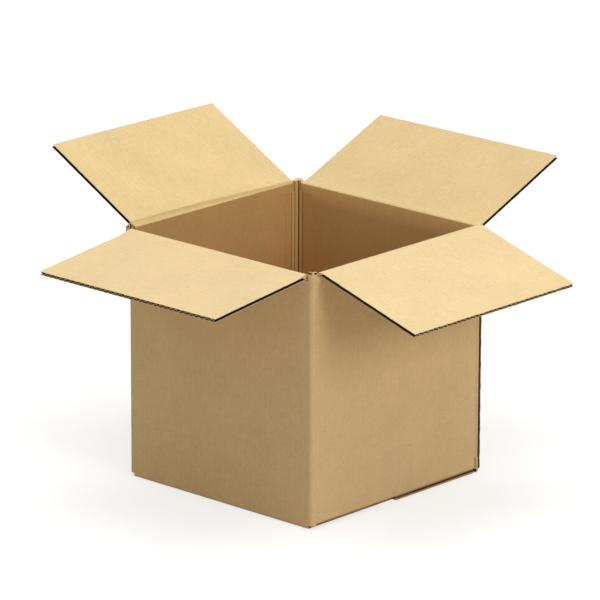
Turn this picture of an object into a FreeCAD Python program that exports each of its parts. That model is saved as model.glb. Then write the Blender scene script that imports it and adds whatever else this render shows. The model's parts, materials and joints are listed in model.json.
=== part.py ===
import FreeCAD, Part
import os
import Sketcher

# An open cube carton of single-wall corrugated board: one folded and glued sheet
# with its bottom closed, and four top flaps that swing on their creases.
# Millimetres. The carton stands on z = 0, its front looks along -Y.

os.makedirs("parts", exist_ok=True)
doc = FreeCAD.newDocument("open_carton")

# Driving sizes

SIZES = [
    ("board", "4.0"),
    ("inside_span", "254.0"),
    ("inside_height", "254.0"),
    ("slot_width", "9.4"),
    ("wide_slot_extra", "5.0"),
    ("flap_side_gap", "0.3"),
    ("seam_gap", "0.6"),
    ("layer_gap", "0.4"),
    ("hinge_offset", "0.3"),
    ("mitre_gap", "0.3"),
    ("rim_lean", "2.5"),
    ("rim_band", "6.0"),
    ("floor_band", "8.0"),
    ("post_rise", "1.3"),
    ("post_lift", "4.0"),
    ("corner_fold_radius", "5.0"),
    ("corner_inner_radius", "1.5"),
    ("bottom_fold_radius", "3.0"),
    ("tab_width", "35.0"),
    ("tab_end_inset", "22.0"),
    ("tab_taper", "12.0"),
    ("raw_edge_setback", "5.5"),
    ("joint_recess", "1.5"),
    ("joint_groove", "3.4"),
    ("joint_side_reach", "1.0"),
    ("flute_count", "35"),
    ("liner", "0.5"),
    ("medium", "0.4"),
    ("channel_wide", "5.7"),
    ("channel_narrow", "1.0"),
    ("crease_band", "6.0"),
    ("open_flute", "2.2"),
    ("tape_width", "48.0"),
    ("tape_thickness", "0.1"),
    ("tape_leg", "55.0"),
    ("front_open_angle", "97.0"),
    ("right_open_angle", "107.0"),
    ("back_open_angle", "67.0"),
    ("left_open_angle", "61.0"),
]

sheet = doc.addObject("Spreadsheet::Sheet", "sizes")
for row, (alias, text) in enumerate(SIZES, start=1):
    sheet.set("A" + str(row), alias)
    sheet.set("B" + str(row), text)
    sheet.setAlias("B" + str(row), alias)
doc.recompute()


def q(formula):
    """Write the size names of a formula as references to the sheet."""
    words = []
    word = ""
    for letter in formula + " ":
        if letter.isalnum() or letter == "_":
            word += letter
            continue
        if word and word[0].isalpha():
            word = "<<sizes>>." + word
        words.append(word + letter)
        word = ""
    return "".join(words).strip()


# Formulas used in several places. Creases lie on the middle of the board.

HALF_IN = "(inside_span / 2)"
HALF_OUT = "(inside_span / 2 + board)"
PANEL_END = "((inside_span + board - slot_width) / 2)"
WIDE_SLOT_END = "((inside_span + board - slot_width) / 2 - wide_slot_extra)"
RAW_EDGE = "((inside_span + board) / 2 - raw_edge_setback)"
FOLD_CREST = "(inside_span / 2 + board - joint_recess)"
LOWER_UNDER = "(tape_thickness)"
UPPER_UNDER = "(tape_thickness + board + layer_gap)"
FLOOR_TOP = "(tape_thickness + 2 * board + layer_gap)"
CEILING = "(tape_thickness + 2 * board + layer_gap + inside_height)"
INNER_HINGE = "(tape_thickness + 3 * board + layer_gap + inside_height + hinge_offset)"
OUTER_HINGE = "(tape_thickness + 4 * board + 2 * layer_gap + inside_height + hinge_offset)"
POST_TOP = "(tape_thickness + 4 * board + 2 * layer_gap + inside_height + hinge_offset + post_rise)"
POST_FOOT = "(tape_thickness + post_lift)"
BAND_TOP = "(tape_thickness + 2 * board + layer_gap + inside_height - rim_band)"
BAND_BOTTOM = "(tape_thickness + 2 * board + layer_gap + floor_band)"
HINGE_REACH = "(inside_span / 2 + board + rim_lean + hinge_offset)"
FLAP_LENGTH = "(inside_span / 2 + board + rim_lean + hinge_offset - seam_gap / 2)"


def new_body(name):
    body = doc.addObject("PartDesign::Body", name)
    body.Label = name
    doc.recompute()
    return body


def origin_plane(body, role):
    for feature in body.Origin.OriginFeatures:
        if feature.Role == role:
            return feature
    raise RuntimeError("origin feature not found: " + role)


def new_sketch(body, name, role, offset=None):
    """Sketch on one origin plane of the body, moved along its normal by a formula."""
    sketch = body.newObject("Sketcher::SketchObject", name)
    sketch.AttachmentSupport = [(origin_plane(body, role), "")]
    sketch.MapMode = "FlatFace"
    if offset is not None:
        sketch.setExpression("AttachmentOffset.Base.z", q(offset))
    return sketch


def closed_outline(sketch, corners):
    """Closed line loop; every corner is held by two formulas from the sketch origin."""
    first = sketch.GeometryCount
    count = len(corners)
    guess = [(value(u), value(v)) for u, v in corners]
    for index in range(count):
        u0, v0 = guess[index]
        u1, v1 = guess[(index + 1) % count]
        start = FreeCAD.Vector(u0, v0, 0)
        end = FreeCAD.Vector(u1, v1, 0)
        sketch.addGeometry(Part.LineSegment(start, end), False)
    for index in range(count):
        this = first + index
        after = first + (index + 1) % count
        sketch.addConstraint(Sketcher.Constraint("Coincident", this, 2, after, 1))
    for index, (u, v) in enumerate(corners):
        this = first + index
        for kind, formula, now in (("DistanceX", u, guess[index][0]), ("DistanceY", v, guess[index][1])):
            number = sketch.addConstraint(Sketcher.Constraint(kind, -1, 1, this, 1, now))
            sketch.setExpression("Constraints[" + str(number) + "]", q(formula))


def value(formula):
    """Number that a formula has with the sheet as it stands."""
    return float(sheet.evalExpression(q(formula)))


def pad(body, name, sketch, length, midplane=False, reverse=False):
    feature = body.newObject("PartDesign::Pad", name)
    feature.Profile = sketch
    feature.Midplane = midplane
    feature.Reversed = reverse
    feature.setExpression("Length", q(length))
    doc.recompute()
    return feature


def pocket(body, name, sketch, length, midplane=False, reverse=False):
    before = body.Tip.Shape.Volume
    feature = body.newObject("PartDesign::Pocket", name)
    feature.Profile = sketch
    feature.Midplane = midplane
    feature.Reversed = reverse
    feature.setExpression("Length", q(length))
    doc.recompute()
    if not feature.Shape.Volume < before:
        raise RuntimeError("the cut removes nothing: " + name)
    return feature


def edges_where(shape, test):
    names = []
    for number, edge in enumerate(shape.Edges, start=1):
        middle = edge.valueAt((edge.FirstParameter + edge.LastParameter) / 2)
        if test(edge, middle):
            names.append("Edge" + str(number))
    if not names:
        raise RuntimeError("no edge found")
    return names


def fillet(body, name, base, names, radius):
    feature = body.newObject("PartDesign::Fillet", name)
    feature.Base = (base, names)
    feature.setExpression("Radius", q(radius))
    doc.recompute()
    return feature


# The folded sheet: walls, corner folds, glue tab and bottom flaps

box_body = new_body("box_body")

plan = new_sketch(box_body, "wall_plan", "XY_Plane", POST_FOOT)
closed_outline(plan, [
    (HALF_OUT, HALF_OUT),
    ("-" + HALF_OUT, HALF_OUT),
    ("-" + HALF_OUT, "-" + HALF_OUT),
    (HALF_OUT, "-" + HALF_OUT),
])
closed_outline(plan, [
    (HALF_IN, HALF_IN),
    ("-" + HALF_IN, HALF_IN),
    ("-" + HALF_IN, "-" + HALF_IN),
    (HALF_IN, "-" + HALF_IN),
])
walls = pad(box_body, "walls", plan, POST_TOP + " - " + POST_FOOT)

half_out = value(HALF_OUT)
half_in = value(HALF_IN)
tolerance = 0.01


def upright_at(half):
    def test(edge, middle):
        near_x = abs(abs(middle.x) - half) < tolerance
        near_y = abs(abs(middle.y) - half) < tolerance
        return near_x and near_y
    return test


outer_folds = fillet(box_body, "outer_corner_folds", walls, edges_where(walls.Shape, upright_at(half_out)),
                     "corner_fold_radius")
inner_folds = fillet(box_body, "inner_corner_folds", outer_folds,
                     edges_where(outer_folds.Shape, upright_at(half_in)), "corner_inner_radius")

# Slots between the flaps, cut down from the top of the ring and up from its foot

# wall name, whether it crosses the y axis, side of the axis, start and end along the wall,
# end of its slot, crease height at the top, underside of its bottom flap
WALLS = [
    ("front", True, "-", "-" + PANEL_END, PANEL_END, PANEL_END, INNER_HINGE, LOWER_UNDER),
    ("right", False, "", "-" + PANEL_END, RAW_EDGE, RAW_EDGE, OUTER_HINGE, UPPER_UNDER),
    ("back", True, "", "-" + PANEL_END, FOLD_CREST, HALF_OUT, INNER_HINGE, LOWER_UNDER),
    ("left", False, "-", "-" + PANEL_END, WIDE_SLOT_END, WIDE_SLOT_END, OUTER_HINGE, UPPER_UNDER),
]


def slot_windows(sketch, across_y):
    """One rectangle over each of two opposite walls, from slot to slot."""
    for name, crosses_y, side, start, end, slot_end, hinge, under in WALLS:
        if crosses_y != across_y:
            continue
        inner = side + "(inside_span / 2 - board)"
        outer = side + "(inside_span / 2 + 2 * board)"
        corners = [(start, inner), (slot_end, inner), (slot_end, outer), (start, outer)]
        if not crosses_y:
            corners = [(v, u) for u, v in corners]
        closed_outline(sketch, corners)


for pair, across_y in (("front_back", True), ("right_left", False)):
    top_slots = new_sketch(box_body, "top_slots_outline_" + pair, "XY_Plane", BAND_TOP)
    slot_windows(top_slots, across_y)
    pocket(box_body, "top_slots_" + pair, top_slots, POST_TOP + " - " + BAND_TOP, reverse=True)

    foot_slots = new_sketch(box_body, "foot_slots_outline_" + pair, "XY_Plane", BAND_BOTTOM)
    slot_windows(foot_slots, across_y)
    pocket(box_body, "foot_slots_" + pair, foot_slots, BAND_BOTTOM)


def wall_panel(name, crosses_y, side, start, end, slot_end, hinge, under):
    """Top of one wall with its mitre, and its bottom flap with the fold, in one profile sketch.

    The top leans out between the slots, drawn by the opened flap.
    """
    sketch = box_body.newObject("Sketcher::SketchObject", name + "_profile")
    if crosses_y:
        sketch.AttachmentSupport = [(origin_plane(box_body, "YZ_Plane"), "")]
        first_end = start
    else:
        sketch.AttachmentSupport = [(origin_plane(box_body, "XZ_Plane"), "")]
        first_end = "-" + end
    sketch.MapMode = "FlatFace"
    sketch.setExpression("AttachmentOffset.Base.z", q(first_end))
    top = hinge + " - mitre_gap"
    closed_outline(sketch, [
        (side + HALF_OUT, BAND_TOP),
        (side + "(inside_span / 2 + board + rim_lean)", top),
        (side + "(inside_span / 2 + rim_lean)", top + " - board"),
        (side + HALF_IN, BAND_TOP),
    ])
    closed_outline(sketch, [
        (side + HALF_OUT, BAND_BOTTOM),
        (side + HALF_OUT, under),
        (side + "(seam_gap / 2)", under),
        (side + "(seam_gap / 2)", under + " + board"),
        (side + HALF_IN, under + " + board"),
        (side + HALF_IN, BAND_BOTTOM),
    ])
    return pad(box_body, name + "_panel", sketch, end + " - (" + start + ")")


panels = [wall_panel(*wall) for wall in WALLS]

lower_under = value(LOWER_UNDER)
upper_under = value(UPPER_UNDER)


def bottom_fold(edge, middle):
    at_lower = abs(middle.z - lower_under) < tolerance and abs(abs(middle.y) - half_out) < tolerance
    at_upper = abs(middle.z - upper_under) < tolerance and abs(abs(middle.x) - half_out) < tolerance
    return at_lower or at_upper


bottom_folds = fillet(box_body, "bottom_folds", panels[-1], edges_where(panels[-1].Shape, bottom_fold),
                      "bottom_fold_radius")

# Where a slot or a flap is cut along a flute, the flute is left open between the liners


def open_flutes_of_posts(sketch):
    """Rectangles over the half flutes that the top slots leave open in the corner posts."""
    for name, crosses_y, side, start, end, slot_end, hinge, under in WALLS:
        inner = side + "(inside_span / 2 + liner)"
        outer = side + "(inside_span / 2 + board - liner)"
        spans = [(start + " - open_flute", start + " + open_flute")]
        if slot_end in (PANEL_END, WIDE_SLOT_END):
            spans.append((slot_end + " - open_flute", slot_end + " + open_flute"))
        for low, high in spans:
            corners = [(low, inner), (high, inner), (high, outer), (low, outer)]
            if not crosses_y:
                corners = [(v, u) for u, v in corners]
            closed_outline(sketch, corners)


post_flutes = new_sketch(box_body, "post_flutes_outline", "XY_Plane", POST_TOP)
open_flutes_of_posts(post_flutes)
pocket(box_body, "post_flutes", post_flutes, POST_TOP + " - " + BAND_TOP)

for name, crosses_y, side, start, end, slot_end, hinge, under in WALLS:
    for which, place in (("first", start), ("last", end)):
        plane = "YZ_Plane" if crosses_y else "XZ_Plane"
        offset = place if crosses_y else "-(" + place + ")"
        edge_flute = new_sketch(box_body, name + "_" + which + "_flute_outline", plane, offset)
        closed_outline(edge_flute, [
            (side + "(seam_gap / 4)", under + " + liner"),
            (side + HALF_IN, under + " + liner"),
            (side + HALF_IN, under + " + board - liner"),
            (side + "(seam_gap / 4)", under + " + board - liner"),
        ])
        pocket(box_body, name + "_" + which + "_flute", edge_flute, "open_flute",
               reverse=(which == "first") == crosses_y)

# Glue tab inside the right wall, and the raw edge beside the back right fold

tab_outline = new_sketch(box_body, "tab_outline", "YZ_Plane", HALF_IN + " - board")
closed_outline(tab_outline, [
    (HALF_IN + " + board / 2", FLOOR_TOP + " + tab_end_inset"),
    (HALF_IN + " + board / 2", CEILING + " - tab_end_inset"),
    (HALF_IN + " - tab_width", CEILING + " - tab_end_inset - tab_taper"),
    (HALF_IN + " - tab_width", FLOOR_TOP + " + tab_end_inset + tab_taper"),
])
tab = pad(box_body, "glue_tab", tab_outline, "board + layer_gap")

joint = new_sketch(box_body, "joint_groove_outline", "XY_Plane")
closed_outline(joint, [
    (HALF_OUT + " + board", RAW_EDGE),
    (HALF_OUT + " - joint_groove", RAW_EDGE),
    (FOLD_CREST, RAW_EDGE + " + joint_groove"),
    (FOLD_CREST, HALF_OUT + " + board"),
    (HALF_OUT + " + board", HALF_OUT + " + board"),
])
pocket(box_body, "joint_groove_cut", joint, POST_TOP + " + board", reverse=True)

# The four top flaps. Each is drawn upright with its crease on its own x axis,
# its outer face towards -y, and is then turned to its wall and opened.

# name, turn about z, crease height, opening angle, side of the x and y axes, start and end of
# the flap on its own x axis
FLAPS = [
    ("flap_front", "0", INNER_HINGE, "front_open_angle", ("0", "-1"),
     "-" + PANEL_END + " + flap_side_gap", PANEL_END + " - flap_side_gap"),
    ("flap_right", "90", OUTER_HINGE, "right_open_angle", ("1", "0"),
     "-" + PANEL_END + " + flap_side_gap", RAW_EDGE),
    ("flap_back", "180", INNER_HINGE, "back_open_angle", ("0", "1"),
     "-(inside_span / 2 + joint_side_reach)", PANEL_END + " - flap_side_gap"),
    ("flap_left", "-90", OUTER_HINGE, "left_open_angle", ("-1", "0"),
     "-" + WIDE_SLOT_END + " + flap_side_gap", PANEL_END + " - flap_side_gap"),
]


def make_flap(name, turn, hinge, opening, sides, start, end):
    body = new_body(name)
    width = "(" + end + " - (" + start + "))"
    pitch = width + " / flute_count"

    profile = new_sketch(body, name + "_profile", "YZ_Plane", start)
    closed_outline(profile, [
        ("hinge_offset", "mitre_gap"),
        ("hinge_offset", FLAP_LENGTH),
        ("hinge_offset + board", FLAP_LENGTH),
        ("hinge_offset + board", "mitre_gap + board"),
    ])
    pad(body, name + "_board", profile, width)

    # Channels between the wavy middle sheet and the two liners, open at the outer edge
    near = "hinge_offset + liner"
    far = "hinge_offset + board - liner"
    rows = (
        ("outer", start, near, far + " - medium", "flute_count + 1"),
        ("inner", start + " + " + pitch + " / 2", far, near + " + medium", "flute_count"),
    )
    for kind, first, base, tip, count in rows:
        channel = new_sketch(body, name + "_" + kind + "_channel_outline", "XY_Plane", FLAP_LENGTH)
        closed_outline(channel, [
            (first + " - channel_wide / 2", base),
            (first + " + channel_wide / 2", base),
            (first + " + channel_narrow / 2", tip),
            (first + " - channel_narrow / 2", tip),
        ])
        cut = pocket(body, name + "_" + kind + "_channel", channel, FLAP_LENGTH + " - crease_band - board")
        row = body.newObject("PartDesign::LinearPattern", name + "_" + kind + "_channels")
        row.Originals = [cut]
        row.Direction = (channel, ["H_Axis"])
        row.Mode = "Spacing"
        row.setExpression("Offset", q(pitch))
        row.setExpression("Occurrences", q(count))
        body.Tip = row
        doc.recompute()

    body.setExpression("Placement.Base.x", q(HINGE_REACH + " * (" + sides[0] + ")"))
    body.setExpression("Placement.Base.y", q(HINGE_REACH + " * (" + sides[1] + ")"))
    body.setExpression("Placement.Base.z", q(hinge))
    body.setExpression("Placement.Rotation.Yaw", turn)
    body.setExpression("Placement.Rotation.Roll", q(opening))
    doc.recompute()
    return body


flaps = [make_flap(*row) for row in FLAPS]

# Clear tape over the bottom seam, its ends turned up on the right and left walls

tape = new_body("bottom_tape")
strip = new_sketch(tape, "tape_profile", "XZ_Plane")
OUTER_TAPE = "(inside_span / 2 + board + tape_thickness)"
closed_outline(strip, [
    ("-" + OUTER_TAPE, UPPER_UNDER + " + tape_leg"),
    ("-" + OUTER_TAPE, UPPER_UNDER),
    ("-" + HALF_OUT + " + slot_width / 2", "0 * board"),
    (FOLD_CREST, "0 * board"),
    (OUTER_TAPE, UPPER_UNDER),
    (OUTER_TAPE, UPPER_UNDER + " + tape_leg"),
    (HALF_OUT, UPPER_UNDER + " + tape_leg"),
    (HALF_OUT, UPPER_UNDER),
    (FOLD_CREST, "tape_thickness"),
    ("-" + HALF_OUT + " + slot_width / 2", "tape_thickness"),
    ("-" + HALF_OUT, UPPER_UNDER),
    ("-" + HALF_OUT, UPPER_UNDER + " + tape_leg"),
])
pad(tape, "tape_strip", strip, "tape_width", midplane=True)

# Every object must be sound before anything is written

doc.recompute()
for item in doc.Objects:
    for state in item.State:
        if state in ("Invalid", "Error"):
            raise RuntimeError("bad state: " + item.Name)
for body in [box_body, tape] + flaps:
    shape = body.Shape
    if shape.isNull() or not shape.isValid() or len(shape.Solids) != 1:
        raise RuntimeError("bad shape: " + body.Label)
    shape.exportStep("parts/" + body.Label + ".step")
    box = shape.BoundBox
    print(body.Label, len(shape.Faces), round(shape.Volume), [round(v, 2) for v in (
        box.XMin, box.XMax, box.YMin, box.YMax, box.ZMin, box.ZMax)])
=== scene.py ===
"""Looks of an open cube carton of corrugated board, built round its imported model.

Lengths are metres, and millimetres where a name or comment says so or they are multiplied by MM.
The carton stands on z = 0 and its front looks along -Y.
"""

import json
import math

import bpy
from mathutils import Matrix, Vector


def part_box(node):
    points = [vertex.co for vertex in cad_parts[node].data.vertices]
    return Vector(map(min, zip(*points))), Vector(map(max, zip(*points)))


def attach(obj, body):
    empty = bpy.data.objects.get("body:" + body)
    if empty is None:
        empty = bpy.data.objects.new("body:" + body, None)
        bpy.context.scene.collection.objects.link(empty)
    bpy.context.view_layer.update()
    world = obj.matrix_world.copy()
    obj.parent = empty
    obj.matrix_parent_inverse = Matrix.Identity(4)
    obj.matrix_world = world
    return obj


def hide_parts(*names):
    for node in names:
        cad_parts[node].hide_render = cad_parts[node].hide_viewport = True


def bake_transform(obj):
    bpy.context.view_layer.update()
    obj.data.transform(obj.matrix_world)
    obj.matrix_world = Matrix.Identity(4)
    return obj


bl_info = {
    "name": "Open cube carton",
    "version": (1, 0, 0),
    "blender": (4, 5, 0),
    "location": "3D View > Sidebar > Carton",
    "description": "Fluted flaps, folds, raw edges, board finish, floor, lamps and camera",
    "category": "Object",
}

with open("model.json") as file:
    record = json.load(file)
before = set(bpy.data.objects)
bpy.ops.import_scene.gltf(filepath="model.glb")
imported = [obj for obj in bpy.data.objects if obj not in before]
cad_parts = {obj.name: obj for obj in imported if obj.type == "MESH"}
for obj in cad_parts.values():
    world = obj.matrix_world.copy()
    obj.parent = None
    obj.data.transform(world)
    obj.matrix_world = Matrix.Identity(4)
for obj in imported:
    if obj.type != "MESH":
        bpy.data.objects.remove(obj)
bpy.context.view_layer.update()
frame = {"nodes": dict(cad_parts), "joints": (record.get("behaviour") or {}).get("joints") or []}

MM = 0.001
QUARTER_TURN = math.pi / 2
ORIGIN = (0, 0, 0)
MATH = "ShaderNodeMath"
# Sockets of a Mix node that mixes colours: its two inputs and its output
COLOUR_A, COLOUR_B, COLOUR_OUT = 6, 7, 2
SIDES = ("front", "right", "back", "left")
# A flap's angle at its joint's lower limit, shut over the opening, where upright is 0
CLOSED_ANGLE = -90.0
# Height where the rims begin to lean out, and how far they lean for each unit of height
RIM_FOOT = 0.2565
RIM_LEAN = 2.5 / 12.0
# The top slots begin here, measured along a wall from its middle
PANEL_END = 0.1245
# Between the two faces of a wall, from the middle of the carton, and just over the inner bottom
MID_BOARD = 0.1290
INNER_BOTTOM = 0.0083
# Heights between which the cut ends of the outermost bottom flaps show their open flutes, as a band of
# painted shade
RAW_EDGE = (0.0009, 0.0041)
RAW_EDGE_END = 0.1285
# Flutes of C board, millimetres from one to the next
FLUTE_PITCH = 7.09
# A face looks along an axis when its normal's part along it is over this
FACING = 0.7


def linear(code):
    """Linear colour of an sRGB hex code."""
    parts = [int(code[i:i + 2], 16) / 255 for i in (1, 3, 5)]
    return tuple(p / 12.92 if p <= 0.04045 else ((p + 0.055) / 1.055) ** 2.4 for p in parts)


def length(name, text, millimetres):
    return bpy.props.FloatProperty(
        name=name, description=text, default=millimetres * MM, min=0.0,
        subtype="DISTANCE", unit="LENGTH", precision=5)


def colour(name, text, code):
    return bpy.props.FloatVectorProperty(
        name=name, description=text, default=linear(code), subtype="COLOR", size=3, min=0.0, max=1.0)


class CartonSizes(bpy.types.PropertyGroup):
    """Lengths of the board's visible detail."""

    board: length("Board", "Thickness of the corrugated board", 4.0)
    hinge_offset: length("Crease offset", "How far a crease line lies outside the board", 0.3)
    mitre_gap: length("Mitre gap", "Gap between a crease line and the board each side of it", 0.3)
    flap_length: length("Flap length", "Crease to free edge", 133.5)
    liner: length("Liner", "Thickness of each flat face sheet", 0.5)
    medium: length("Medium", "Thickness of the wavy middle sheet", 0.7)
    edge_wander: length("Edge wander", "How far a cut edge strays from its line", 0.35)
    medium_recess: length("Medium recess", "How far the wavy sheet ends inside the liners", 0.05)
    flutes: bpy.props.IntProperty(
        name="Flutes", description="Waves of the middle sheet across one flap", default=35, min=8)


class CartonColours(bpy.types.PropertyGroup):
    """Colours of the board, its raw edges, the tape and the floor, and the shade and highlights painted
    on the board.
    """

    outer: colour("Outer liner", "Kraft paper outside the carton", "#DBB984")
    inner: colour("Inner liner", "Kraft paper on the inside of the flaps", "#EFD4A0")
    # Painted shade: the back and left flaps' inside is the same paper, darkened where the light falls
    # less
    inner_shade: colour(
        "Inner liner, back pair", "Slightly browner paper inside the back and left flaps", "#E8CB94")
    # Painted shade: the inside walls are the flaps' paper, darkened for the dim light inside the carton
    inside_shade: colour("Inside walls", "Kraft paper on the inside of the walls", "#C49C62")
    # Painted shade on the board as it bends over at a crease
    bend: colour("Bend", "Kraft paper pressed at a crease", "#C9AA70")
    medium: colour("Medium", "Rougher paper of the wavy middle sheet", "#D9B582")
    # Painted shade in the depth of the flutes, on the sheets' sides that face them
    flute_shade: colour("Flute", "Glued side of the sheets, in the depth of the flutes", "#40291A")
    # Painted shade in a crease's valley and down the glued corner's raw edge
    score: colour("Score", "Pressed valley of a score line, where dust gathers", "#6B4B2A")
    # Painted shade in the bottom of a corner's fold
    valley: colour("Corner valley", "Creased paper in the bottom of a corner's fold", "#7F5E34")
    # Painted shade along the score lines beside a corner's beads
    score_line_shade: colour("Corner score", "Score lines beside a corner's beads", "#94703F")
    # Painted highlight on the beads beside a corner's fold
    bead: colour("Corner bead", "Stretched paper on the beads beside a corner's fold", "#D0AA72")
    # Painted highlight: the inner liner's cut edge, paler than its face where it catches the light
    cut: colour("Cut edge", "Freshly cut edge of an inner liner", "#FBE9C4")
    tape: colour("Tape", "Clear packing tape", "#F4F1EA")
    floor: colour("Floor", "Plain studio floor as the camera sees it", "#B2B2B1")
    floor_light: colour("Floor bounce", "How pale the floor is to the light it sends back", "#C8C8C6")


def sizes():
    return bpy.context.scene.carton_sizes


def colours():
    return bpy.context.scene.carton_colours


def inner_tint(side):
    """Colour of a flap's inside: the back and left flaps get a little painted shade."""
    return tuple(colours().inner_shade if side in ("back", "left") else colours().inner)


# Materials


def add(tree, kind, settings=None, links=None):
    """Add a node. Settings are its attributes; links set an input or join it to an output.

    A node among the links stands for its first output.
    """
    node = tree.nodes.new(kind)
    for key, value in (settings or {}).items():
        setattr(node, key, value)
    for key, value in (links or {}).items():
        if isinstance(value, bpy.types.Node):
            value = value.outputs[0]
        if isinstance(value, bpy.types.NodeSocket):
            tree.links.new(value, node.inputs[key])
        else:
            node.inputs[key].default_value = value
    return node


def new_material(name):
    material = bpy.data.materials.new(name)
    material.use_nodes = True
    tree = material.node_tree
    tree.nodes.clear()
    out = add(tree, "ShaderNodeOutputMaterial")
    return material, tree, out


# What mottles kraft paper: size in mm, detail, roughness, stretch and how much the tone changes
MOTTLES = {
    "clouds": (60.0, 3.0, 0.55, (1.0, 1.0, 1.0), 0.16),
    "pulp": (7.0, 3.0, 0.55, (1.0, 1.0, 1.0), 0.13),
    "grain": (1.5, 3.0, 0.7, (1.0, 1.0, 1.0), 0.42),
    "fibres": (3.0, 2.0, 0.55, (4.0, 0.6, 4.0), 0.08),
}
# Flecks of bark and pale flecks: cell and radius in mm, share of the cells, offset, strength, colour
FLECKS = (
    (13.0, 0.65, 0.22, (0.0, 0.0, 0.0), 0.55, "#5A4024"),
    (17.0, 0.6, 0.10, (0.4, 0.2, 0.1), 0.5, "#F6E8CC"),
)


def kraft(name, tint, inside_shade_tint=None, flute_axis=(1.0, 1.0, 0.0), flute_depth=1.0, above=None):
    """Kraft liner paper, made on a wire: matt, with clouds of pulp, short fibres and a few flecks.

    It tells the eye paper, not plastic: no shine, a grain near a millimetre, and faint
    ribs where the flutes show through, as a bump and as painted shade in the tone. With
    inside_shade_tint the inside of the carton gets it as painted shade.
    With above (slope, level, tint) the paper over a line that falls towards the back gets that tint,
    and the painted shade under the line ends there.
    """
    material, tree, out = new_material(name)
    place = add(tree, "ShaderNodeTexCoord").outputs["Object"]
    tone = 1.0
    mottle = {}
    for layer, (size, detail, roughness, stretch, amount) in MOTTLES.items():
        stretched = add(tree, "ShaderNodeMapping", None, {"Vector": place, "Scale": stretch})
        noise = add(tree, "ShaderNodeTexNoise", None, {
            "Vector": stretched, "Scale": 1.0 / (size * MM), "Detail": detail, "Roughness": roughness})
        centred = add(tree, MATH, {"operation": "SUBTRACT"}, {0: noise, 1: 0.5})
        mottle[layer] = add(tree, MATH, {"operation": "MULTIPLY_ADD"}, {0: centred, 1: amount, 2: 1.0})
        tone = add(tree, MATH, {"operation": "MULTIPLY"}, {0: mottle[layer], 1: tone})

    # Ribs of the flutes under the paper: painted shade in the tone here, and a bump below
    turns = tuple(a * 2.0 * math.pi / (FLUTE_PITCH * MM) for a in flute_axis)
    along = add(tree, "ShaderNodeVectorMath", {"operation": "DOT_PRODUCT"}, {
        0: place, 1: turns}).outputs["Value"]
    ribs = add(tree, MATH, {"operation": "SINE"}, {0: along})
    rib_shade = add(tree, MATH, {"operation": "MULTIPLY_ADD"}, {0: ribs, 1: 0.008 * flute_depth, 2: 1.0})
    tone = add(tree, MATH, {"operation": "MULTIPLY"}, {0: tone, 1: rib_shade})

    paper = add(tree, "ShaderNodeRGB").outputs[0]
    paper.default_value = (*tint, 1.0)
    if inside_shade_tint is not None:
        paper = paint_inside_and_raw_edge_shade(tree, place, paper, inside_shade_tint)
    # The painted shade of a bend gives way to the flap's tint over a line, with a soft fade below it
    if above is not None:
        slope, level, upper = above
        rise = add(tree, "ShaderNodeVectorMath", {"operation": "DOT_PRODUCT"}, {
            0: place, 1: (0.0, slope, 1.0)}).outputs["Value"]
        over = add(tree, "ShaderNodeMapRange", None, {
            0: rise, 1: level - 0.5 * MM, 2: level + 1.0 * MM, 3: 0.0, 4: 1.0})
        paler = add(tree, "ShaderNodeMapRange", None, {
            0: rise, 1: level - 3.0 * MM, 2: level - 1.2 * MM, 3: 0.45, 4: 0.0})
        share = add(tree, MATH, {"operation": "MAXIMUM"}, {0: over, 1: paler})
        paper = add(tree, "ShaderNodeMix", {"data_type": "RGBA"}, {
            0: share, COLOUR_A: paper, COLOUR_B: (*upper, 1.0)}).outputs[COLOUR_OUT]
    paper = add(tree, "ShaderNodeVectorMath", {"operation": "SCALE"}, {0: paper, "Scale": tone})

    for cell, radius, share, offset, strength, fleck in FLECKS:
        shifted = add(tree, "ShaderNodeVectorMath", {"operation": "ADD"}, {0: place, 1: offset})
        cells = add(tree, "ShaderNodeTexVoronoi", {"feature": "F1"}, {
            "Vector": shifted, "Scale": 1.0 / (cell * MM)}).outputs
        near = add(tree, MATH, {"operation": "LESS_THAN"}, {0: cells["Distance"], 1: radius / cell})
        lot = add(tree, "ShaderNodeSeparateColor", None, {"Color": cells["Color"]})
        drawn = add(tree, MATH, {"operation": "LESS_THAN"}, {0: lot, 1: share})
        shown = add(tree, MATH, {"operation": "MULTIPLY"}, {0: near, 1: drawn})
        shown = add(tree, MATH, {"operation": "MULTIPLY"}, {0: shown, 1: strength})
        paper = add(tree, "ShaderNodeMix", {"data_type": "RGBA"}, {
            0: shown, COLOUR_A: paper, COLOUR_B: (*linear(fleck), 1.0)}).outputs[COLOUR_OUT]

    relief = add(tree, MATH, {"operation": "MULTIPLY_ADD"}, {
        0: ribs, 1: 0.5 * flute_depth, 2: mottle["grain"]})
    bump = add(tree, "ShaderNodeBump", None, {"Strength": 0.5, "Distance": 0.08 * MM, "Height": relief})
    shader = add(tree, "ShaderNodeBsdfPrincipled", None, {
        "Base Color": paper, "Roughness": 0.82, "IOR": 1.45, "Specular IOR Level": 0.25,
        "Normal": bump})
    tree.links.new(shader.outputs[0], out.inputs[0])
    return material


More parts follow.
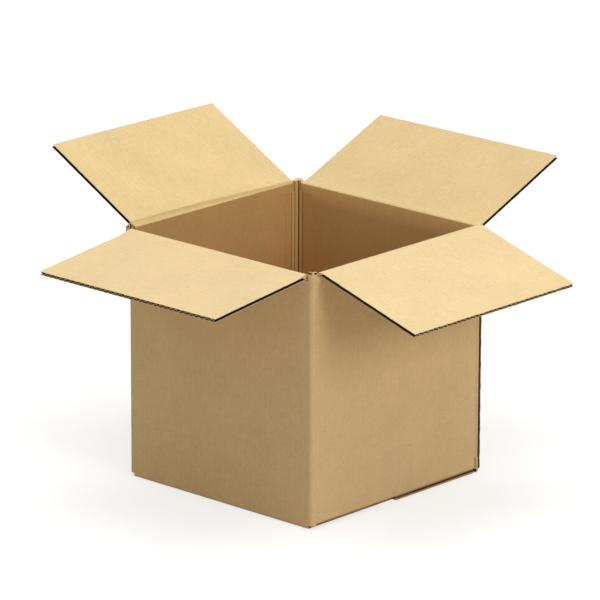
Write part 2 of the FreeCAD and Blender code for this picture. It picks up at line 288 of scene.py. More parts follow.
def paint_inside_and_raw_edge_shade(tree, place, paper, inside_shade_tint):
    """Paint shade over the carton's inside, and paint the shade of the open flutes in the cut ends of
    the outermost bottom flaps as a dark band.
    """
    spot = add(tree, "ShaderNodeSeparateXYZ", None, {0: place}).outputs
    across = add(tree, MATH, {"operation": "ABSOLUTE"}, {0: spot[0]})
    along = add(tree, MATH, {"operation": "ABSOLUTE"}, {0: spot[1]})
    reach = add(tree, MATH, {"operation": "MAXIMUM"}, {0: across, 1: along})
    # The leaning rims lie between the slots
    aside = add(tree, MATH, {"operation": "MINIMUM"}, {0: across, 1: along})
    rim = add(tree, MATH, {"operation": "LESS_THAN"}, {0: aside, 1: PANEL_END})
    climb = add(tree, MATH, {"operation": "SUBTRACT"}, {0: spot[2], 1: RIM_FOOT})
    climb = add(tree, MATH, {"operation": "MAXIMUM"}, {0: climb, 1: 0.0})
    lean = add(tree, MATH, {"operation": "MULTIPLY"}, {0: climb, 1: RIM_LEAN})
    lean = add(tree, MATH, {"operation": "MULTIPLY"}, {0: rim, 1: lean})
    upright = add(tree, MATH, {"operation": "SUBTRACT"}, {0: reach, 1: lean})
    within = add(tree, MATH, {"operation": "LESS_THAN"}, {0: upright, 1: MID_BOARD})
    raised = add(tree, MATH, {"operation": "GREATER_THAN"}, {0: spot[2], 1: INNER_BOTTOM})
    inside = add(tree, MATH, {"operation": "MULTIPLY"}, {0: within, 1: raised})
    # Painted shade over the carton's inside, leaning rims included
    paper = add(tree, "ShaderNodeMix", {"data_type": "RGBA"}, {
        0: inside, COLOUR_A: paper, COLOUR_B: (*inside_shade_tint, 1.0)}).outputs[COLOUR_OUT]

    # Painted shade of the open flutes: a dark band along the bottom flaps' cut ends
    over = add(tree, MATH, {"operation": "GREATER_THAN"}, {0: spot[2], 1: RAW_EDGE[0]})
    under = add(tree, MATH, {"operation": "LESS_THAN"}, {0: spot[2], 1: RAW_EDGE[1]})
    short = add(tree, MATH, {"operation": "LESS_THAN"}, {0: along, 1: RAW_EDGE_END})
    raw = add(tree, MATH, {"operation": "MULTIPLY"}, {0: under, 1: short})
    raw = add(tree, MATH, {"operation": "MULTIPLY"}, {0: over, 1: raw})
    return add(tree, "ShaderNodeMix", {"data_type": "RGBA"}, {
        0: raw, COLOUR_A: paper, COLOUR_B: (*colours().flute_shade, 1.0)}).outputs[COLOUR_OUT]


def semichemical_medium(name, tint):
    """Semichemical fluting paper, rough and unsized: dull, with fuzz of about a millimetre.

    It tells the eye a torn or cut edge. Its dark tints are painted shade in the depth of the flutes and
    down the glued corner's raw edge, and its palest tint a painted highlight on the inner liners'
    edges.
    """
    material, tree, out = new_material(name)
    place = add(tree, "ShaderNodeTexCoord").outputs["Object"]
    fuzz = add(tree, "ShaderNodeTexNoise", None, {
        "Vector": place, "Scale": 1.0 / (1.2 * MM), "Detail": 3.0})
    ramp = add(tree, "ShaderNodeMapRange", None, {0: fuzz, 1: 0.25, 2: 0.75, 3: 0.7, 4: 1.2})
    base = add(tree, "ShaderNodeVectorMath", {"operation": "SCALE"}, {0: tuple(tint), "Scale": ramp})
    shader = add(tree, "ShaderNodeBsdfPrincipled", None, {
        "Base Color": base, "Roughness": 0.95, "IOR": 1.45, "Specular IOR Level": 0.1})
    tree.links.new(shader.outputs[0], out.inputs[0])
    return material


def clear_tape():
    """Clear oriented polypropylene tape, calendered smooth: seen only by a slight gloss."""
    material, tree, out = new_material("clear_polypropylene_film")
    place = add(tree, "ShaderNodeTexCoord").outputs["Object"]
    wrinkle = add(tree, "ShaderNodeTexNoise", None, {
        "Vector": place, "Scale": 1.0 / (9.0 * MM), "Detail": 2.0})
    rough = add(tree, "ShaderNodeMapRange", None, {0: wrinkle, 3: 0.22, 4: 0.38})
    bump = add(tree, "ShaderNodeBump", None, {"Strength": 0.3, "Distance": 0.2 * MM, "Height": wrinkle})
    shader = add(tree, "ShaderNodeBsdfPrincipled", None, {
        "Base Color": (*colours().tape, 1.0), "Roughness": rough, "IOR": 1.49, "Alpha": 0.03,
        "Normal": bump})
    tree.links.new(shader.outputs[0], out.inputs[0])
    return material


# Modelling helpers


def add_alone(adder, name, **settings):
    """Add one primitive with nothing else selected, and name it."""
    if bpy.context.object and bpy.context.object.mode != "OBJECT":
        bpy.ops.object.mode_set(mode="OBJECT")
    bpy.ops.object.select_all(action="DESELECT")
    adder(**settings)
    piece = bpy.context.object
    piece.name = name
    piece.data.name = name
    return piece


def close_edit():
    bpy.ops.object.mode_set(mode="OBJECT")


def choose(piece, test):
    """Select the vertices that pass the test, with the edges and faces between them."""
    bpy.context.view_layer.objects.active = piece
    if piece.mode != "EDIT":
        bpy.ops.object.mode_set(mode="EDIT")
    bpy.ops.mesh.select_all(action="DESELECT")
    close_edit()
    wanted = {vertex.index for vertex in piece.data.vertices if test(vertex)}
    for vertex in piece.data.vertices:
        vertex.select = vertex.index in wanted
    for edge in piece.data.edges:
        edge.select = wanted.issuperset(edge.vertices)
    for face in piece.data.polygons:
        face.select = wanted.issuperset(face.vertices)
    bpy.ops.object.mode_set(mode="EDIT")


def settle(piece, turn=Matrix()):
    """Turn the finished mesh to its place and leave the object at the origin, unturned."""
    close_edit()
    bpy.ops.object.select_all(action="DESELECT")
    piece.select_set(True)
    bpy.context.view_layer.objects.active = piece
    piece.matrix_world = turn @ piece.matrix_world
    bpy.ops.object.transform_apply(location=True, rotation=True, scale=True)


def apply_modifier(piece, kind, **settings):
    bpy.context.view_layer.objects.active = piece
    modifier = piece.modifiers.new(kind.lower(), kind)
    for key, value in settings.items():
        setattr(modifier, key, value)
    bpy.ops.object.modifier_apply(modifier=modifier.name)


def smooth(piece, degrees):
    bpy.ops.object.select_all(action="DESELECT")
    piece.select_set(True)
    bpy.context.view_layer.objects.active = piece
    bpy.ops.object.shade_smooth_by_angle(angle=math.radians(degrees))


def dress(piece, *materials):
    piece.data.materials.clear()
    for material in materials:
        piece.data.materials.append(material)


def finish_faces(piece, finish):
    """Give each face the material whose number the rule says."""
    for face in piece.data.polygons:
        face.material_index = finish(face)


def standing_grid(name, columns, rows, width, height, centre, quarter_turned=False):
    """A grid that stands upright along x, or along y when turned, and is left in edit mode."""
    grid = add_alone(bpy.ops.mesh.primitive_grid_add, name, x_subdivisions=columns,
                     y_subdivisions=rows, size=1.0)
    bpy.ops.object.mode_set(mode="EDIT")
    bpy.ops.mesh.select_all(action="SELECT")
    bpy.ops.transform.rotate(value=-QUARTER_TURN, orient_axis="X", center_override=ORIGIN)
    if quarter_turned:
        bpy.ops.transform.rotate(value=-QUARTER_TURN, orient_axis="Z", center_override=ORIGIN)
    stretch = (1.0, width, height) if quarter_turned else (width, 1.0, height)
    bpy.ops.transform.resize(value=stretch, center_override=ORIGIN)
    bpy.ops.transform.translate(value=centre)
    return grid


class Crease:
    """Where a flap's crease is: x runs along it, y into the carton and z up, from its own origin."""

    def __init__(self, side):
        self.side = side
        self.along = (1.0, 0.0, 0.0) if side in ("front", "back") else (0.0, 1.0, 0.0)
        self.node = "flap_" + side
        self.body = side + "_flap"
        joint = next(j for j in frame["joints"] if j["name"] == side + "_crease")
        axis = Vector(joint["axis"])
        low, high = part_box(self.node)
        ends = sorted((Vector(low).dot(axis), Vector(high).dot(axis)))
        self.start, self.end = ends
        self.opening = math.radians(CLOSED_ANGLE - joint["range_deg"][0])
        yaw = math.atan2(axis.y, axis.x)
        self.wall = Matrix.Translation(Vector(joint["pos_m"])) @ Matrix.Rotation(yaw, 4, "Z")
        self.flap = self.wall @ Matrix.Rotation(self.opening, 4, "X")


# The pieces

# Cells of a flap's liner along the crease and away from it, steps of one wave of the fluting, and
# the first of the four flaps' seeds for each liner's cut edges
LINER_CELLS = (48, 26)
WAVE_STEPS = 10
INNER_SEED = 3
OUTER_SEED = 13


def flat_sheet(name, crease, inner_face, foot, seed):
    """One liner of a flap: a thin sheet whose cut edges stray a little, except near the crease."""
    s = sizes()
    width, height = crease.end - crease.start, s.flap_length - foot
    middle = (crease.start + crease.end) / 2
    sheet = standing_grid(name, *LINER_CELLS, width, height, (middle, 0.0, foot + height / 2))
    tiny = 0.01 * MM

    def cut_edge(vertex):
        x, _, z = vertex.co
        beside = x < crease.start + tiny or x > crease.end - tiny
        return z > s.flap_length - tiny or (beside and z > foot + 4 * s.board)

    choose(sheet, cut_edge)
    bpy.ops.transform.vertex_random(offset=s.edge_wander, uniform=0.0, normal=0.0, seed=seed)
    # Keep the strayed edges flat and inside the flap's box
    choose(sheet, lambda vertex: True)
    bpy.ops.transform.resize(value=(1.0, 0.0, 1.0), center_override=ORIGIN)
    shrink_x = width / (width + 2 * s.edge_wander)
    shrink_z = height / (height + s.edge_wander)
    bpy.ops.transform.resize(value=(shrink_x, 1.0, shrink_z), center_override=(middle, 0, foot))
    near = s.hinge_offset + (s.board - s.liner if inner_face else 0.0)
    bpy.ops.transform.translate(value=(0.0, near + s.liner / 2, 0.0))
    close_edit()
    apply_modifier(sheet, "SOLIDIFY", thickness=s.liner, offset=0.0)
    return sheet


# How far the wavy sheet stops short of a flap's two side edges in mm, and where its wave begins
WAVES = {
    "front": (2.2, 1.6, 0.0),
    "right": (0.5, 2.0, 0.25),
    "back": (1.0, 1.4, 0.1),
    "left": (1.8, 2.4, 0.5),
}


def wavy_sheet(name, crease):
    """The fluted middle of a flap: a flat sheet whose columns are moved into waves."""
    s = sizes()
    first_gap, last_gap, phase = WAVES[crease.side]
    start, end = crease.start + first_gap * MM, crease.end - last_gap * MM
    width, foot = end - start, s.mitre_gap + s.board
    height = s.flap_length - s.medium_recess - foot
    pitch = (crease.end - crease.start) / s.flutes
    columns = int(width / pitch * WAVE_STEPS)
    centre = ((start + end) / 2, s.hinge_offset + s.board / 2, foot + height / 2)
    sheet = standing_grid(name, columns, 6, width, height, centre)
    swing = (s.board - 2 * s.liner - s.medium) / 2
    for step in range(WAVE_STEPS):
        choose(sheet, lambda vertex:
               round((vertex.co.x - start) / width * columns) % WAVE_STEPS == step)
        lift = swing * math.cos(2 * math.pi * (step / WAVE_STEPS + phase))
        bpy.ops.transform.translate(value=(0.0, lift, 0.0))
    close_edit()
    apply_modifier(sheet, "SOLIDIFY", thickness=s.medium, offset=0.0)
    smooth(sheet, 60.0)
    return sheet


class CARTON_OT_board(bpy.types.Operator):
    """Give the folded sheet and the bottom tape their finishes"""

    bl_idname = "carton.board"
    bl_label = "Board and tape"

    def execute(self, context):
        c = colours()
        # Painted shade over the carton's inside and along the bottom flaps' open flutes
        paper = kraft("kraft_liner_walls", c.outer, c.inside_shade)
        dress(frame["nodes"]["box_body"], paper)
        dress(frame["nodes"]["bottom_tape"], clear_tape())
        return {"FINISHED"}


class CARTON_OT_flaps(bpy.types.Operator):
    """Make the four top flaps from two liners and a wavy middle sheet each"""

    bl_idname = "carton.flaps"
    bl_label = "Fluted top flaps"

    def execute(self, context):
        s, c = sizes(), colours()
        edge = semichemical_medium("semichemical_fluting_edge", c.medium)
        # Painted shade for the depth of the flutes, and a painted highlight for the inner liner's cut
        # edge
        flute_shade = semichemical_medium("flute_painted_shade", c.flute_shade)
        cut = semichemical_medium("liner_edge_painted_highlight", c.cut)
        for number, side in enumerate(SIDES):
            crease = Crease(side)
            # Painted shade makes the back and left flaps' inside a little darker
            inner = kraft("kraft_liner_inner_" + side, inner_tint(side), flute_axis=crease.along)
            outer = kraft("kraft_liner_outer_" + side, c.outer, flute_axis=crease.along)
            inner_foot, outer_foot = s.mitre_gap + s.board, s.mitre_gap + s.liner
            # Each sheet with its own finish and a rule for its faces: 0 that finish, 1 painted shade in
            # the depth of the flutes, 2 the cut edge, paler with a painted highlight
            sheets = (
                (flat_sheet(side + "_flap_inner_liner", crease, True, inner_foot, INNER_SEED + number),
                 inner, lambda face: 0 if face.normal.y > FACING else 1 if face.normal.y < -FACING
                 else 2),
                (flat_sheet(side + "_flap_outer_liner", crease, False, outer_foot, OUTER_SEED + number),
                 outer, lambda face: int(face.normal.y > FACING)),
                (wavy_sheet(side + "_flap_fluting", crease),
                 edge, lambda face: int(abs(face.normal.z) < FACING)),
            )
            for sheet, own, finish in sheets:
                dress(sheet, own, flute_shade, cut)
                finish_faces(sheet, finish)
                settle(sheet, crease.flap)
                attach(sheet, crease.body)
            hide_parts(crease.node)
        return {"FINISHED"}


class CARTON_OT_folds(bpy.types.Operator):
    """Make the bent board at the four top creases, from the wall's inside over to the flap"""

    bl_idname = "carton.folds"
    bl_label = "Crease folds"

    def execute(self, context):
        c = colours()
        for side in SIDES:
            crease = Crease(side)
            # The rim gets the inside walls' painted shade, the bend and the score painted shade too,
            # and the root the flap's inside tint
            papers = [kraft("kraft_liner_" + part + "_" + side, tint, flute_axis=crease.along,
                            flute_depth=0.0, above=above)
                      for part, tint, above in (
                          ("rim", c.inside_shade, None),
                          ("bend", c.bend, BEND_SHADE_END + (inner_tint(side),)),
                          ("root", inner_tint(side), None),
                          ("score", c.score, None))]
            section = fold_section(crease)
            fold = extruded(side + "_fold", section, crease.start, crease.end)
            dress(fold, *papers)
            finish_faces(fold, lambda face: fold_finish(fold, face, section, side))
            settle(fold, crease.wall)
            start, end = Vector((0, *section[0])), Vector((0, *section[len(BENDS[side][0]) - 1]))
            start.z = BLEND_START * MM
            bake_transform(fold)
        return {"FINISHED"}


# The bend's inner line at each crease, in millimetres inwards and upwards from the crease line,
# with how many of its points belong to the wall and how many to the bend
BENDS = {
    "front": (((6.9, -1.0), (6.0, 2.5), (3.8, 4.9), (0.8, 5.9), (-3.0, 5.6), (-6.5, 4.7)), 1, 0),
    "right": (((6.9, -14.0), (5.7, -9.2), (4.8, -5.2), (4.75, -2.4), (5.0, 0.2), (4.0, 2.2),
               (1.0, 3.3), (-2.2, 3.6), (-5.0, 3.1)), 4, 0),
    "back": (((6.9, 3.6), (6.3, 4.6), (4.4, 5.2), (1.5, 5.55), (-1.0, 5.75), (-3.4, 6.3)), 1, 0),
    "left": (((6.9, 0.6), (6.3, 1.0), (4.9, 1.8), (3.9, 2.4), (2.2, 3.7), (0.6, 4.4), (-0.9, 5.2),
              (-2.4, 6.25)), 1, 6),
}
# Where the bend's painted shade ends: slope towards the back and height in metres
BEND_SHADE_END = (0.018, 0.2757)
# Millimetres from the crease line: up to the foot of the bent skin, the foot of the leaning rim and
# the start of the blend, inwards to the wall's inside, and along the flap to the skin's end
SKIN_FOOT = -17.0
LEAN_FOOT = -14.0
BLEND_START = -5.0
WALL_PLANE = 6.8
ROOT_END = 14.0
# How far the skin stands on the flap's inner face, and how far its edge is sunk into the flap
SKIN_PROUD = 0.06
SKIN_SUNK = 0.2
# Steps of the ring's part round the crease line, corners that follow it, and steps along the crease
ARC_STEPS = 6
AFTER_ARC = 3
FOLD_STEPS = 24


def fold_section(crease):
    """Section of the bent board: inwards and up from the crease line, as one closed ring."""
    s = sizes()
    line = BENDS[crease.side][0]
    corners = [Vector((line[0][0], SKIN_FOOT)) * MM] + [Vector(p) * MM for p in line]
    turn = crease.opening
    inn, out = Vector((math.cos(turn), math.sin(turn))), Vector((-math.sin(turn), math.cos(turn)))
    face = s.hinge_offset + s.board
    # Onto the flap's inner face, then down to its foot and round the crease line
    corners.append(inn * (face + SKIN_PROUD * MM) + out * ROOT_END * MM)
    corners.append(inn * (face - SKIN_SUNK * MM) + out * ROOT_END * MM)
    corners.append(inn * (face - SKIN_SUNK * MM) + out * (s.mitre_gap + s.board))
    radius = math.hypot(s.hinge_offset, s.mitre_gap)
    first = math.atan2(s.mitre_gap, s.hinge_offset) + turn
    last = 2 * math.pi - math.atan2(s.mitre_gap, s.hinge_offset)
    for step in range(ARC_STEPS + 1):
        angle = first + (last - first) * step / ARC_STEPS
        corners.append(Vector((math.cos(angle), math.sin(angle))) * radius)
    corners.append(Vector((s.hinge_offset + s.board, -s.mitre_gap - s.board)))
    corners.append(Vector((WALL_PLANE, LEAN_FOOT)) * MM)
    corners.append(Vector((WALL_PLANE, SKIN_FOOT)) * MM)
    return corners


def extruded(name, section, start, end):
    """Draw a section as a ring of corners, then extrude it along the crease in short steps."""
    ring = add_alone(bpy.ops.mesh.primitive_circle_add, name, vertices=len(section), radius=0.05,
                     fill_type="NGON")
    places = [v.co.copy() for v in ring.data.vertices]
    for index, (corner, place) in enumerate(zip(section, places)):
        choose(ring, lambda vertex: vertex.index == index)
        bpy.ops.transform.translate(value=Vector((start, *corner)) - place)
    bpy.ops.mesh.select_all(action="SELECT")
    step = ((end - start) / FOLD_STEPS, 0, 0)
    for _ in range(FOLD_STEPS):
        bpy.ops.mesh.extrude_region_move(TRANSFORM_OT_translate={"value": step})
    bpy.ops.mesh.select_all(action="SELECT")
    bpy.ops.mesh.normals_make_consistent(inside=False)
    close_edit()
    smooth(ring, 50.0)
    return ring


def fold_finish(fold, face, section, side):
    """Number of a face's finish: 0 the wall's painted shade, 1 the bend's painted shade, 2 the flap's
    root's or 3 the score's painted shade.
    """
    _, wall_points, bend_points = BENDS[side]
    arc_end = len(section) - 1 - AFTER_ARC
    marks = []
    for index in face.vertices:
        spot = fold.data.vertices[index].co.yz
        marks.append(min(range(len(section)), key=lambda i: (section[i] - spot).length))
    low, high = min(marks), max(marks)
    if high - low > 1:
        return int(abs(face.normal.x) > 0.9)
    if low >= arc_end - ARC_STEPS and high <= arc_end:
        return 3
    if low < wall_points:
        return 0
    return 1 if low < wall_points + bend_points else 2


# The corners. A corner's own frame has its origin where the two outer faces would meet;
# u runs along the right or left wall and v along the front or back wall, in millimetres.

HALF_OUTSIDE = 131.0
# A corner's signs of x and y, the slot edges along u and v, and how high the post's tip reaches
CORNERS = {
    "front_right": ((1, -1), 6.7, 6.7, 276.0),
    "front_left": ((-1, -1), 6.7, 6.7, 275.6),
    "back_left": ((-1, 1), 11.7, 6.7, 274.2),
    "back_right": ((1, 1), 7.5, 6.7, 274.2),
}
# Beside a post the outer liner ends just under the creases, which are low on the front and back
# walls and high on the other two
LOW_RIM, HIGH_RIM = 265.8, 270.2
# The undersides of the shut flaps: the front and back pair lie low, the other two high
LOW_SHUT, HIGH_SHUT = 262.2, 266.6
# A post leans out from FLARE_FOOT on: by FLARE over the next FLARE_HEIGHT, and above that by up to
# FLARE_LIMIT times as much
FLARE_FOOT = 256.0
FLARE_HEIGHT = 10.5
FLARE = 2.6
FLARE_LIMIT = 1.12
# The glued corner's torn edge: its foot and top, its two sides and its middle, its thickness, how far
# its outer side strays and in how many rows
TEAR_FOOT, TEAR_TOP = 4.0, 261.0
TEAR_NEAR, TEAR_FAR = 130.4, 132.4
TEAR_MIDDLE = 129.2
TEAR_THICKNESS = 2.2
TEAR_STRAY = 0.45
TEAR_ROWS = 60
# Inside a corner, from its own origin: the valley's end, the score line on the u and on the v leg
# and half its width, and on the u leg the outer bead's end and a second score line
VALLEY_END = 6.0
SCORE_AT = (10.4, 9.6)
SCORE_HALF = 0.75
BEAD_END = 14.5
SECOND_SCORE = (15.0, 16.1)
# The inner liner's section on each leg: along it from the corner, and how far its beads rise
# from INNER_FACE, the wall's inner face
INNER_FACE = 4.2
BEADS_U = ((24.0, 0.0), (19.0, 0.0), (17.0, 0.1), (16.1, 0.0), (15.0, 0.15), (13.6, 0.9), (12.2, 0.9),
           (11.2, 0.2), (10.4, 0.0), (9.7, 0.2), (8.7, 0.9), (7.2, 1.1), (5.9, 0.6))
BEADS_V = ((5.9, 0.6), (6.9, 1.1), (8.1, 0.9), (9.0, 0.2), (9.6, 0.0), (10.4, 0.35), (12.4, 0.3),
           (14.0, 0.0), (24.0, 0.0))
VALLEY = (4.75, 4.75)


def corner_place(signs, u, v, z):
    """From a corner's own frame to the carton's, in metres."""
    return Vector((signs[0] * (HALF_OUTSIDE - v), signs[1] * (HALF_OUTSIDE - u), z)) * MM


def whole(u, v):
    """All columns of a sheet rise."""
    return True


def upright_sheet(name, signs, line, foot, levels, flare):
    """Stand a sheet on a plan line and draw it up through the levels, flaring outwards.

    Each level says how high it is and which columns still rise there.
    """
    columns = len(line) - 1
    sheet = add_alone(bpy.ops.mesh.primitive_grid_add, name, x_subdivisions=columns,
                      y_subdivisions=1, size=0.1)
    places = [v.co.copy() for v in sheet.data.vertices]
    for end, z in ((1, foot), (-1, levels[0][0])):
        row = sorted(range(len(places)), key=lambda i: (end * places[i].y, places[i].x))
        for index, spot in zip(row, line):
            choose(sheet, lambda vertex: vertex.index == index)
            bpy.ops.transform.translate(value=corner_place(signs, *spot, z) - places[index])
    plan = [corner_place(signs, u, v, 0.0) for u, v in line]
    scale = 1.0
    for (before, _), (z, rising) in zip(levels, levels[1:]):

        def goes_on(vertex):
            if abs(vertex.co.z - before * MM) > 0.01 * MM:
                return False
            flat = Vector((vertex.co.x / scale, vertex.co.y / scale, 0.0))
            return rising(*line[min(range(len(plan)), key=lambda i: (plan[i] - flat).length)])

        choose(sheet, goes_on)
        bpy.ops.mesh.extrude_region_move(TRANSFORM_OT_translate={"value": (0, 0, (z - before) * MM)})
        wanted = 1.0 + flare(z) / HALF_OUTSIDE
        bpy.ops.transform.resize(value=(wanted / scale, wanted / scale, 1.0), center_override=ORIGIN)
        scale = wanted
    bpy.ops.mesh.select_all(action="SELECT")
    bpy.ops.mesh.normals_make_consistent(inside=False)
    close_edit()
    return sheet


def rounded_line(leg_u, leg_v, inset, radius, steps):
    """Plan line of a corner: along u, round the fold and out along v."""
    centre = inset + radius
    turns = [QUARTER_TURN * step / steps for step in range(1, steps)]
    fold = [(centre - radius * math.sin(turn), centre - radius * math.cos(turn)) for turn in turns]
    return [(u, inset) for u in leg_u] + fold + [(inset, v) for v in leg_v]


def outer_post(name, signs, slot_u, slot_v, top):
    """The outer liner of a post, flared as the opened flaps have drawn it."""
    leg_u = (20.0, 16.0, slot_u + 2.5, slot_u, (slot_u + 5.0) / 2, 5.0)
    leg_v = (5.0, (slot_v + 5.0) / 2, slot_v, slot_v + 2.5, 16.0, 20.0)
    line = rounded_line(leg_u, leg_v, -0.1, 5.1, 6)
    slack = 0.01

    def high_wall(u, v):
        return v <= slot_v + slack

    def stub(u, v):
        return u <= slot_u + slack and v <= slot_v + slack

    def tip(u, v):
        return u <= 3.4 and v <= 3.4

    levels = [(z, whole) for z in (250.0, FLARE_FOOT, 258.5, 261.0, 263.6, LOW_RIM)]
    levels += [(268.5, high_wall), (HIGH_RIM, high_wall), (272.0, stub), (top - 2.6, stub),
               (top - 1.4, tip), (top - 0.6, tip)]
    sheet = upright_sheet(
        name + "_post_outer_liner", signs, line, 244.0, levels,
        lambda z: FLARE * max(0.0, min(FLARE_LIMIT, (z - FLARE_FOOT) / FLARE_HEIGHT)))
    apply_modifier(sheet, "SOLIDIFY", thickness=sizes().liner, offset=-1.0)
    smooth(sheet, 40.0)
    return sheet


def post_core(name, signs, slot_u, slot_v, top):
    """The inner liner of a post where it stands above the board, behind the open flutes."""
    line = rounded_line((slot_u + 0.2, 6.2, 5.4, 4.4), (4.4, 5.4, 6.2, slot_v + 0.2), 1.5, 2.9, 4)
    levels = [(271.0, whole), (top - 0.9, whole), (top, lambda u, v: max(u, v) < 6.3)]
    sheet = upright_sheet(name + "_post_core", signs, line, 266.0, levels, lambda z: FLARE)
    apply_modifier(sheet, "SOLIDIFY", thickness=sizes().liner, offset=0.0)
    smooth(sheet, 40.0)
    return sheet


def inner_post(name, signs, slot_u, slot_v):
    """The inside of a corner, where scoring has left a bead each side of the fold."""
    line = [(u, INNER_FACE + rise) for u, rise in BEADS_U] + [VALLEY]
    line += [(INNER_FACE + rise, v) for v, rise in BEADS_V]

    def stub(u, v):
        return u <= slot_u + 0.3 and v <= slot_v + 0.3

    levels = [(z, whole) for z in (60.0, 120.0, 180.0, 235.0, LOW_SHUT)]
    # The glued corner's inner liner stops under the shut flaps
    if name != "back_right":
        levels += [(z, stub) for z in (HIGH_SHUT, 271.0, 273.6)]
    sheet = upright_sheet(name + "_corner_inner_liner", signs, line, 8.55, levels, lambda z: 0.0)
    apply_modifier(sheet, "SOLIDIFY", thickness=sizes().liner, offset=0.0)
    smooth(sheet, 60.0)
    return sheet


def corner_finish(face, signs):
    """Number of a face's finish inside a corner: 0 plain painted shade, 1 the valley's darker painted
    shade, 2 a bead's painted highlight or 3 a score line's painted shade.
    """
    u = HALF_OUTSIDE - signs[1] * face.center.y / MM
    v = HALF_OUTSIDE - signs[0] * face.center.x / MM
    run, on_u = max(u, v), u > v
    score = SCORE_AT[0] if on_u else SCORE_AT[1]
    if run < VALLEY_END:
        return 1
    if abs(run - score) < SCORE_HALF or (on_u and SECOND_SCORE[0] < run < SECOND_SCORE[1]):
        return 3
    return 2 if run < score or (on_u and run < BEAD_END) else 0


def place_on_body(piece):
    settle(piece)
    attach(piece, "body")


class CARTON_OT_posts(bpy.types.Operator):
    """Make the liners of the corner posts: the flared outside, and the inside with its fold beads"""

    bl_idname = "carton.posts"
    bl_label = "Corner posts"

    def execute(self, context):
        c = colours()
        outside = kraft("kraft_liner_posts", c.outer)
        # The corner's inside is painted shade, darker in the valley and along the scores, with painted
        # highlights on the beads
        inside = kraft("corner_inside_painted_shade", c.inside_shade)
        valley = kraft("corner_valley_painted_shade", c.valley)
        score_line_shade = kraft("corner_score_painted_shade", c.score_line_shade)
        bead = kraft("corner_bead_painted_highlight", c.bead)
        rim = kraft("kraft_liner_post_rims", c.inner)
        flute_shade = semichemical_medium("post_core_painted_shade", c.flute_shade)
        for name, (signs, slot_u, slot_v, top) in CORNERS.items():
            # At the glued corner the raw edge takes the place of the post's outside
            if name != "back_right":
                piece = outer_post(name, signs, slot_u, slot_v, top)
                dress(piece, outside)
                place_on_body(piece)
                piece = post_core(name, signs, slot_u, slot_v, top)
                dress(piece, flute_shade, rim)
                # The post core's sides are painted shade behind the open flutes; its top shows the
                # liner's colour
                crest = (top - 0.5) * MM
                finish_faces(piece, lambda face: int(face.normal.z > FACING or face.center.z > crest))
                place_on_body(piece)
            piece = inner_post(name, signs, slot_u, slot_v)
            dress(piece, inside, valley, bead, score_line_shade)
            finish_faces(piece, lambda face: corner_finish(face, signs))
            place_on_body(piece)
        return {"FINISHED"}


class CARTON_OT_raw_edge(bpy.types.Operator):
    """Make the torn raw edge that runs down the glued corner, its dark colour painted shade"""

    bl_idname = "carton.raw_edge"
    bl_label = "Raw edge of the glued corner"

    def execute(self, context):
        width, height = (TEAR_FAR - TEAR_NEAR) * MM, (TEAR_TOP - TEAR_FOOT) * MM
        centre = Vector((TEAR_MIDDLE, (TEAR_NEAR + TEAR_FAR) / 2, (TEAR_FOOT + TEAR_TOP) / 2)) * MM
        strip = standing_grid("glued_corner_raw_edge", 2, TEAR_ROWS, width, height, centre, True)
        for row in range(TEAR_ROWS + 1):
            level = TEAR_FOOT * MM + height * row / TEAR_ROWS
            choose(strip, lambda vertex: abs(vertex.co.z - level) < 0.5 * MM
                   and vertex.co.y > (TEAR_FAR - 0.1) * MM)
            stray = TEAR_STRAY * MM * math.sin(row * 1.7) * math.sin(row * 0.53)
            bpy.ops.transform.translate(value=(0.0, stray, 0.0))
        close_edit()
        apply_modifier(strip, "SOLIDIFY", thickness=TEAR_THICKNESS * MM, offset=0.0)
        # The strip's dark colour is painted shade
        dress(strip, semichemical_medium("raw_edge_painted_shade", colours().score))
        place_on_body(strip)
        return {"FINISHED"}


# The stage

# The camera as the photograph gives it: turned, raised and rolled in degrees, lengths in metres
CAMERA_TURN = 42.681
CAMERA_RISE = 16.537
CAMERA_ROLL = 0.173
CAMERA_DISTANCE = 5.2799
CAMERA_AIM = (-0.005417, 0.0592)
CAMERA_AIM_HEIGHT = 0.130
FOCAL_PIXELS = 5018.8
IMAGE_PIXELS = 600
SENSOR_MM = 36.0
# The lamps: place and aim, width in metres, watts
LAMPS = {
    "top_lamp": ((0.4, -0.4, 6.2), (0, 0, 0.2), 3.2, 150.0),
    "side_lamp": ((5.5, -0.5, 2.6), (0, 0, 0.15), 2.2, 100.0),
}
# How strongly the surroundings light the carton, and how much of the floor's white is its own glow
WORLD_LIGHT = 0.5
FLOOR_GLOW = 0.655
# Metres across the floor, and as far as the camera sees
FLOOR_WIDTH = 60.0


def make_camera():
    turn, rise, roll = (math.radians(a) for a in (CAMERA_TURN, CAMERA_RISE, CAMERA_ROLL))
    away = Vector((math.sin(turn) * math.cos(rise), -math.cos(turn) * math.cos(rise), math.sin(rise)))
    right = (-away).cross(Vector((0, 0, 1))).normalized()
    up = right.cross(-away)
    aim = Vector((0, 0, CAMERA_AIM_HEIGHT)) + right * CAMERA_AIM[0] + up * CAMERA_AIM[1]
    rolled_right = right * math.cos(roll) + up * math.sin(roll)
    rolled_up = up * math.cos(roll) - right * math.sin(roll)
    data = bpy.data.cameras.new("studio_camera")
    data.sensor_width = SENSOR_MM
    data.lens = FOCAL_PIXELS / IMAGE_PIXELS * SENSOR_MM
    data.clip_end = FLOOR_WIDTH
    camera = bpy.data.objects.new("studio_camera", data)
    bpy.context.scene.collection.objects.link(camera)
    rotation = Matrix((rolled_right, rolled_up, away)).transposed().to_4x4()
    camera.matrix_world = Matrix.Translation(aim + away * CAMERA_DISTANCE) @ rotation
    bpy.context.scene.camera = camera


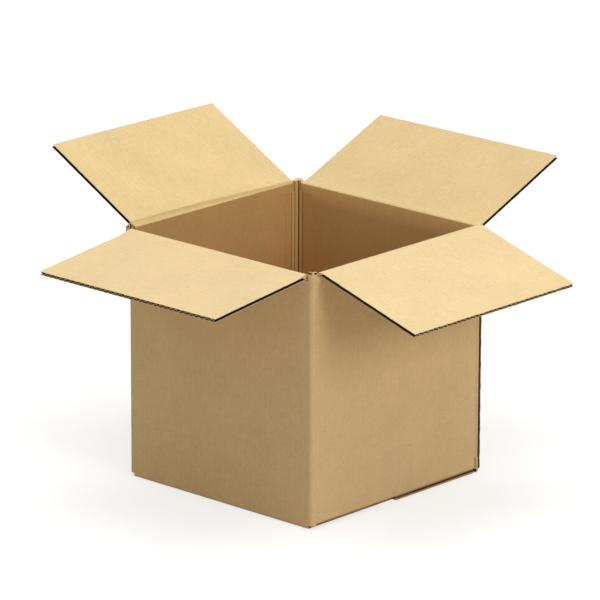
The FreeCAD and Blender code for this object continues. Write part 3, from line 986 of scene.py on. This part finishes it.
def lamp(name, place, target, width, watts):
    data = bpy.data.lights.new(name, "AREA")
    data.shape = "SQUARE"
    data.size = width
    data.energy = watts
    light = bpy.data.objects.new(name, data)
    light.location = place
    light.rotation_euler = (Vector(target) - Vector(place)).to_track_quat("-Z", "Y").to_euler()
    bpy.context.scene.collection.objects.link(light)


def seen_share(tree):
    """1 for what the camera sees, straight, in gloss or through something clear, else 0."""
    path = add(tree, "ShaderNodeLightPath").outputs
    mirrored = add(tree, MATH, {"operation": "MAXIMUM"}, {
        0: path["Is Glossy Ray"], 1: path["Is Transmission Ray"]})
    return add(tree, MATH, {"operation": "MAXIMUM"}, {0: path["Is Camera Ray"], 1: mirrored})


def make_world():
    """Even light from all round; the camera and mirrors see plain white."""
    world = bpy.data.worlds.new("studio_world")
    bpy.context.scene.world = world
    world.use_nodes = True
    tree = world.node_tree
    tree.nodes.clear()
    out = add(tree, "ShaderNodeOutputWorld")
    level = add(tree, "ShaderNodeMix", {"data_type": "FLOAT"}, {
        0: seen_share(tree), 2: WORLD_LIGHT, 3: 1.0})
    background = add(tree, "ShaderNodeBackground", None, {"Color": (1, 1, 1, 1), "Strength": level})
    tree.links.new(background.outputs[0], out.inputs[0])


def studio_floor():
    """Matt studio paper: white where it is lit, with the object's shadow kept."""
    material, tree, out = new_material("matt_studio_paper")
    seen = seen_share(tree)
    shade = add(tree, "ShaderNodeMix", {"data_type": "RGBA"}, {
        0: seen, COLOUR_A: (*colours().floor_light, 1.0),
        COLOUR_B: (*colours().floor, 1.0)}).outputs[COLOUR_OUT]
    paper = add(tree, "ShaderNodeBsdfDiffuse", None, {"Color": shade})
    level = add(tree, MATH, {"operation": "MULTIPLY"}, {0: seen, 1: FLOOR_GLOW})
    glow = add(tree, "ShaderNodeEmission", None, {"Color": (1, 1, 1, 1), "Strength": level})
    both = add(tree, "ShaderNodeAddShader", None, {0: paper, 1: glow})
    tree.links.new(both.outputs[0], out.inputs[0])
    return material


class CARTON_OT_stage(bpy.types.Operator):
    """Set up the floor, the soft lamps, the white surroundings and the camera"""

    bl_idname = "carton.stage"
    bl_label = "Floor, lamps and camera"

    def execute(self, context):
        floor = add_alone(bpy.ops.mesh.primitive_plane_add, "studio_floor", size=FLOOR_WIDTH)
        dress(floor, studio_floor())
        make_world()
        for name, settings in LAMPS.items():
            lamp(name, *settings)
        make_camera()
        context.scene.view_settings.view_transform = "Standard"
        return {"FINISHED"}


class CARTON_PT_panel(bpy.types.Panel):
    """The carton's steps, sizes and colours in the sidebar"""

    bl_idname = "CARTON_PT_panel"
    bl_label = "Carton"
    bl_space_type = "VIEW_3D"
    bl_region_type = "UI"
    bl_category = "Carton"

    def draw(self, context):
        for step in STEPS:
            self.layout.operator(step.bl_idname)
        for group in (context.scene.carton_sizes, context.scene.carton_colours):
            column = self.layout.column()
            for name in group.__annotations__:
                column.prop(group, name)


STEPS = (CARTON_OT_board, CARTON_OT_flaps, CARTON_OT_folds, CARTON_OT_posts,
         CARTON_OT_raw_edge, CARTON_OT_stage)
CLASSES = (CartonSizes, CartonColours, *STEPS, CARTON_PT_panel)


def register():
    for item in CLASSES:
        bpy.utils.register_class(item)
    bpy.types.Scene.carton_sizes = bpy.props.PointerProperty(type=CartonSizes)
    bpy.types.Scene.carton_colours = bpy.props.PointerProperty(type=CartonColours)


def unregister():
    del bpy.types.Scene.carton_colours
    del bpy.types.Scene.carton_sizes
    for item in reversed(CLASSES):
        bpy.utils.unregister_class(item)


def main():
    register()
    bpy.ops.carton.board()
    bpy.ops.carton.flaps()
    bpy.ops.carton.folds()
    bpy.ops.carton.posts()
    bpy.ops.carton.raw_edge()
    bpy.ops.carton.stage()


if __name__ == "__main__":
    main()
